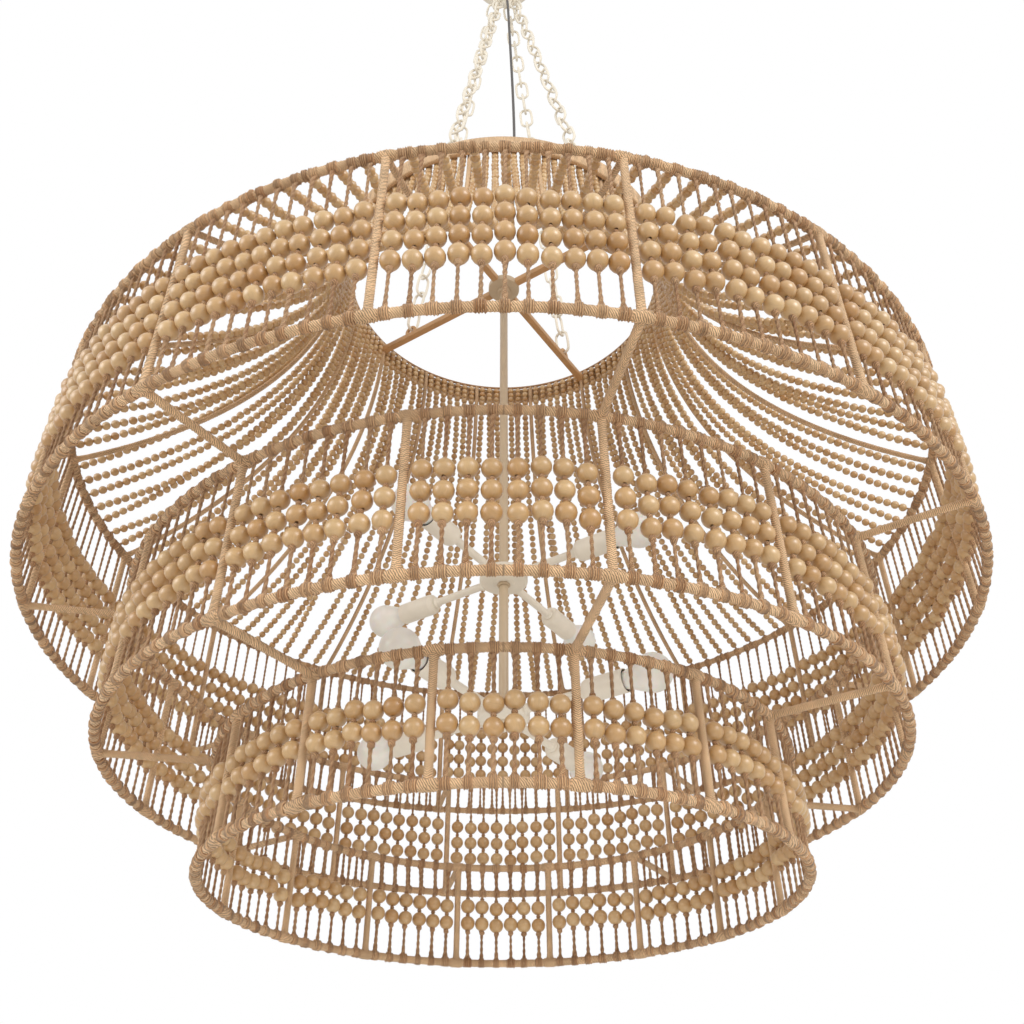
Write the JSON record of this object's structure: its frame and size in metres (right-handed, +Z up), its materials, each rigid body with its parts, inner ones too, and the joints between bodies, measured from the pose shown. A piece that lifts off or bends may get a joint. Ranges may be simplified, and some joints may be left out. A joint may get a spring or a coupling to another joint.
{
  "type": "chandelier",
  "caption": "Large ceiling chandelier: a domed crown and stepped round tiers of twine-wrapped hoops hung with wooden bead strings, on chains, with lamp clusters inside.",
  "frame": {"origin": "on the ceiling, at the middle of the ceiling bracket's flat top face", "axes": "+Z up into the ceiling; the fixture hangs below z = 0 and its axis is Z; -Y is the side that the picture was taken from"},
  "size_m": [1.5214, 1.5214, 2.7723],
  "materials": {
    "twine": "rough natural jute twine",
    "bead_wood": "bare turned wood",
    "tan_paint": "satin",
    "white_paint": "satin",
    "zinc_steel": "zinc plated",
    "frosted_glass": "frosted",
    "dark_cable": "matt"
  },
  "bodies": {
    "ceiling_group": {"ceiling_bracket": "zinc_steel", "mounting_nipple": "zinc_steel", "nipple_lock_nut": "zinc_steel", "canopy_cover": "white_paint", "canopy_collar": "white_paint", "cable_grommet": "dark_cable", "canopy_loop": "white_paint", "cable_lead": "dark_cable"},
    "ring": {"gathering_ring": "white_paint"},
    "fixture": {"chain_1": "white_paint", "chain_2": "white_paint", "chain_3": "white_paint", "chain_4": "white_paint", "power_cable": "dark_cable", "spider_arm_1": "tan_paint", "spider_arm_2": "tan_paint", "spider_arm_3": "tan_paint", "spider_arm_4": "tan_paint", "spider_hub": "tan_paint", "cable_entry_nut": "white_paint", "stem_upper": "white_paint", "stem_nut": "white_paint", "stem_lower": "white_paint", "upper_cluster_hub": "white_paint", "lower_cluster_hub": "white_paint", "finial": "white_paint", "lamp_arm_1": "white_paint", "lamp_arm_2": "white_paint", "lamp_arm_3": "white_paint", "lamp_arm_4": "white_paint", "lamp_arm_5": "white_paint", "lamp_arm_6": "white_paint", "lamp_arm_7": "white_paint", "lamp_arm_8": "white_paint", "lamp_socket_1": "white_paint", "lamp_socket_2": "white_paint", "lamp_socket_3": "white_paint", "lamp_socket_4": "white_paint", "lamp_socket_5": "white_paint", "lamp_socket_6": "white_paint", "lamp_socket_7": "white_paint", "lamp_socket_8": "white_paint", "crown_frame": "twine", "tier1_upper_hoop": "twine", "tier1_lower_frame": "twine", "tier2_upper_hoop": "twine", "tier2_lower_frame": "twine", "tier3_upper_hoop": "twine", "tier3_lower_frame": "twine"},
    "lamp_1": {"bulb_1": "frosted_glass"},
    "lamp_2": {"bulb_2": "frosted_glass"},
    "lamp_3": {"bulb_3": "frosted_glass"},
    "lamp_4": {"bulb_4": "frosted_glass"},
    "lamp_5": {"bulb_5": "frosted_glass"},
    "lamp_6": {"bulb_6": "frosted_glass"},
    "lamp_7": {"bulb_7": "frosted_glass"},
    "lamp_8": {"bulb_8": "frosted_glass"}
  },
  "joints": [
    {"name": "ring_swing", "type": "hinge", "parent": "ceiling_group", "child": "ring", "pos_m": [0, 0, -0.09985], "axis": [0, 1, 0], "range_deg": [-10, 10]},
    {"name": "chains_swing", "type": "hinge", "parent": "ring", "child": "fixture", "pos_m": [0, 0, -0.16825], "axis": [1, 0, 0], "range_deg": [-10, 10]},
    {"name": "bulb_1_unscrew", "type": "hinge", "parent": "fixture", "child": "lamp_1", "pos_m": [-0.11111, -0.16629, -2.233], "axis": [-0.5556, -0.8315, 0], "range_deg": [0, 900]},
    {"name": "bulb_2_unscrew", "type": "hinge", "parent": "fixture", "child": "lamp_2", "pos_m": [0.16629, -0.11111, -2.233], "axis": [0.8315, -0.5556, 0], "range_deg": [0, 900]},
    {"name": "bulb_3_unscrew", "type": "hinge", "parent": "fixture", "child": "lamp_3", "pos_m": [0.11111, 0.16629, -2.233], "axis": [0.5556, 0.8315, 0], "range_deg": [0, 900]},
    {"name": "bulb_4_unscrew", "type": "hinge", "parent": "fixture", "child": "lamp_4", "pos_m": [-0.16629, 0.11111, -2.233], "axis": [-0.8315, 0.5556, 0], "range_deg": [0, 900]},
    {"name": "bulb_5_unscrew", "type": "hinge", "parent": "fixture", "child": "lamp_5", "pos_m": [-0.11111, -0.16629, -2.491], "axis": [-0.5556, -0.8315, 0], "range_deg": [0, 900]},
    {"name": "bulb_6_unscrew", "type": "hinge", "parent": "fixture", "child": "lamp_6", "pos_m": [0.16629, -0.11111, -2.491], "axis": [0.8315, -0.5556, 0], "range_deg": [0, 900]},
    {"name": "bulb_7_unscrew", "type": "hinge", "parent": "fixture", "child": "lamp_7", "pos_m": [0.11111, 0.16629, -2.491], "axis": [0.5556, 0.8315, 0], "range_deg": [0, 900]},
    {"name": "bulb_8_unscrew", "type": "hinge", "parent": "fixture", "child": "lamp_8", "pos_m": [-0.16629, 0.11111, -2.491], "axis": [-0.8315, 0.5556, 0], "range_deg": [0, 900]}
  ]
}
